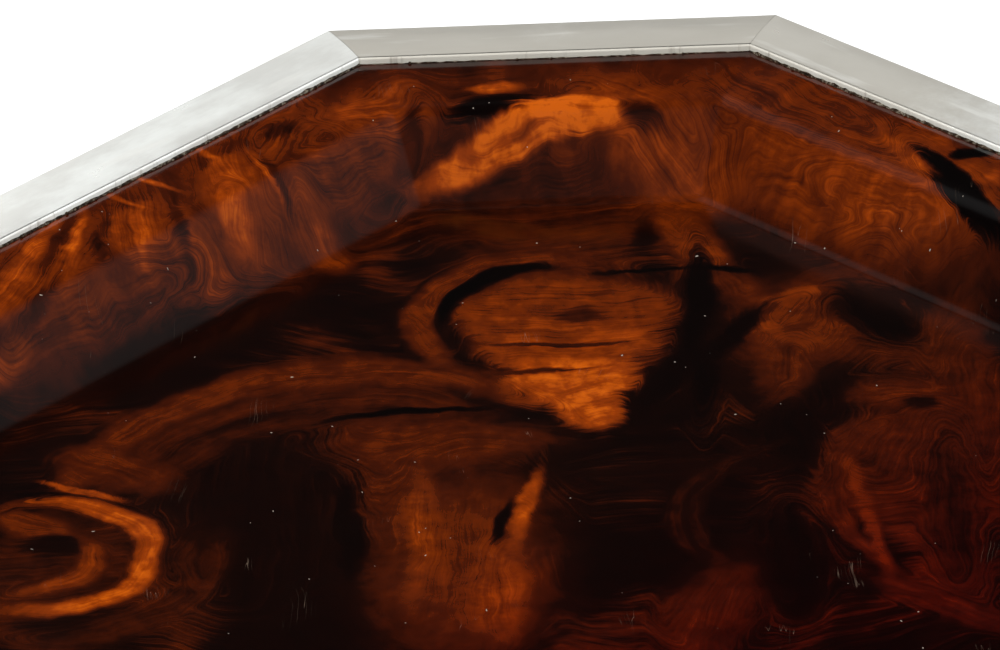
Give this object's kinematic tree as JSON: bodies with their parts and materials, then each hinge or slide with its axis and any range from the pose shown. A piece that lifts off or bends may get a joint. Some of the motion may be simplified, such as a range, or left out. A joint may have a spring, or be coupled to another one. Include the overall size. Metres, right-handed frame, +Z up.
{
  "type": "tray table",
  "caption": "Tray table with canted corners: mitred metal rim round a dished tortoiseshell pan that lifts off a folding stand of crossed flat bars.",
  "frame": {"origin": "on the floor, under the middle of the tray", "axes": "+Z up; X along the stand's pivot and the rails that carry the tray; Y across them"},
  "size_m": [0.6, 0.48, 0.54],
  "materials": {
    "rim_plate": "silver-plated brass, brushed and lightly tarnished",
    "tortoiseshell": "polished imitation tortoiseshell",
    "clear_resin": "uneven clear resin bead",
    "raw_brass": "unplated brass",
    "fastener_steel": "nickel-plated steel",
    "board_lacquer": "dark stained plywood",
    "pad_felt": "wool felt",
    "stand_plate": "silver-plated brass, satin",
    "shoe_rubber": "matte",
    "strap_leather": "dark brown bridle leather"
  },
  "bodies": {
    "stand_outer": {"outer_leg_left": "stand_plate", "outer_leg_right": "stand_plate", "outer_top_rail": "stand_plate", "outer_stretcher": "stand_plate", "outer_rail_screws": "fastener_steel", "outer_foot_shoes": "shoe_rubber", "pivot_bolts": "fastener_steel", "pivot_spacers": "raw_brass", "pivot_washers": "raw_brass", "pivot_nuts": "fastener_steel", "strap_left": "strap_leather", "strap_right": "strap_leather", "strap_rivets_outer": "raw_brass"},
    "stand_inner": {"inner_leg_left": "stand_plate", "inner_leg_right": "stand_plate", "inner_top_rail": "stand_plate", "inner_stretcher": "stand_plate", "inner_rail_screws": "fastener_steel", "inner_foot_shoes": "shoe_rubber", "strap_rivets_inner": "raw_brass"},
    "tray": {"tray_pan": "tortoiseshell", "rim_bar_1": "rim_plate", "rim_bar_2": "rim_plate", "rim_bar_3": "rim_plate", "rim_bar_4": "rim_plate", "rim_bar_5": "rim_plate", "rim_bar_6": "rim_plate", "rim_bar_7": "rim_plate", "rim_bar_8": "rim_plate", "corner_brackets": "raw_brass", "rim_studs": "raw_brass", "retaining_strips": "raw_brass", "stud_nuts": "fastener_steel", "resin_bead": "clear_resin", "base_board": "board_lacquer", "base_pad": "pad_felt", "tray_cleats": "stand_plate", "cleat_screws": "fastener_steel"}
  },
  "joints": [
    {"name": "stand_fold", "type": "hinge", "parent": "stand_outer", "child": "stand_inner", "pos_m": [0, 0, 0.262], "axis": [1, 0, 0], "range_deg": [0, 58], "deforming": ["strap_left", "strap_right"]},
    {"name": "tray_lift", "type": "slide", "parent": "stand_outer", "child": "tray", "axis": [0, 0, 1], "range_m": [0, 0.255]}
  ],
  "couplings": [
    {"joint": "tray_lift", "follows": "stand_fold", "m_per_rad": 0.25}
  ]
}
